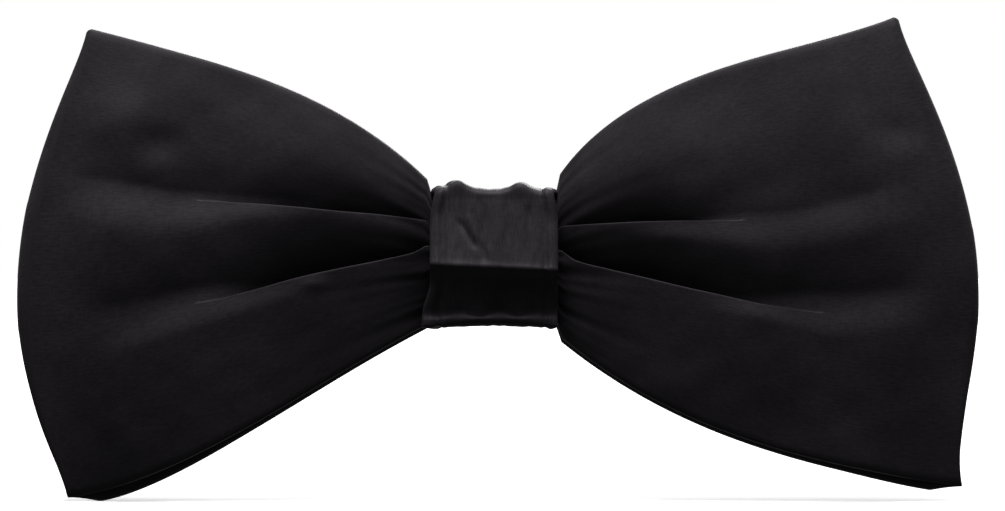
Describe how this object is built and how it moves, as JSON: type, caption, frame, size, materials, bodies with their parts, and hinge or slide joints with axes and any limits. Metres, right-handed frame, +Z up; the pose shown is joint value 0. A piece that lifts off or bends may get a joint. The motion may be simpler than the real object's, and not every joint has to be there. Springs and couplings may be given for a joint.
{
  "type": "bow tie",
  "caption": "Pre-tied black bow tie with looped pleated wings, centre wrap and an adjustable neck band with slider, hook and ring",
  "frame": {"origin": "middle of the collar-side face of the centre wrap, where the tie bears on the collar front", "axes": "+Z is up as worn, +X is across the bow, +Y points from the bow towards the neck, so the bow faces -Y"},
  "size_m": [0.12, 0.1319, 0.0604],
  "materials": {
    "bow_cloth": "matt black sateen, fine crosswise weave",
    "band_cloth": "black satin band, flat woven",
    "interlining": "off-white brushed cotton interlining",
    "thread": "black polyester sewing thread",
    "metal": "nickel plated steel, satin"
  },
  "bodies": {
    "bow": {"bow_face_cloth": "bow_cloth", "bow_interlining": "interlining", "bow_lining_cloth": "bow_cloth", "bow_back_seam": "thread", "waist_thread": "thread", "centre_wrap_cloth": "bow_cloth", "centre_wrap_interlining": "interlining", "centre_wrap_seam": "thread", "neck_band_front": "band_cloth", "band_tack_stitches": "thread"},
    "ring_band": {"neck_band_ring_side": "band_cloth", "ring_end_stitches": "thread"},
    "ring": {"ring": "metal"},
    "hook_band": {"neck_band_hook_side": "band_cloth"},
    "slider": {"slider": "metal", "neck_band_return": "band_cloth", "slider_end_stitches": "thread"},
    "hook_carrier": {"neck_band_turn": "band_cloth"},
    "hook": {"hook": "metal"}
  },
  "joints": [
    {"name": "ring_band_flex", "type": "hinge", "parent": "bow", "child": "ring_band", "pos_m": [0.05785, 0.0575, 0], "axis": [0, 0, -1], "range_deg": [0, 75]},
    {"name": "ring_swing", "type": "hinge", "parent": "ring_band", "child": "ring", "pos_m": [0.00977, 0.11589, 0], "axis": [0, 0, 1], "range_deg": [-90, 90]},
    {"name": "hook_band_flex", "type": "hinge", "parent": "bow", "child": "hook_band", "pos_m": [-0.05785, 0.0575, 0], "axis": [0, 0, 1], "range_deg": [0, 75]},
    {"name": "slider_travel", "type": "hinge", "parent": "hook_band", "child": "slider", "pos_m": [0, 0.0575, 0], "axis": [0, 0, 1], "range_deg": [0, 20]},
    {"name": "hook_take_up", "type": "hinge", "parent": "hook_band", "child": "hook_carrier", "pos_m": [0, 0.0575, 0], "axis": [0, 0, 1], "range_deg": [0, 10]},
    {"name": "hook_swing", "type": "hinge", "parent": "hook_carrier", "child": "hook", "pos_m": [-0.01459, 0.11601, 0], "axis": [0, 0, 1], "range_deg": [-90, 90]}
  ],
  "couplings": [
    {"joint": "hook_take_up", "follows": "slider_travel", "ratio": 0.5}
  ]
}
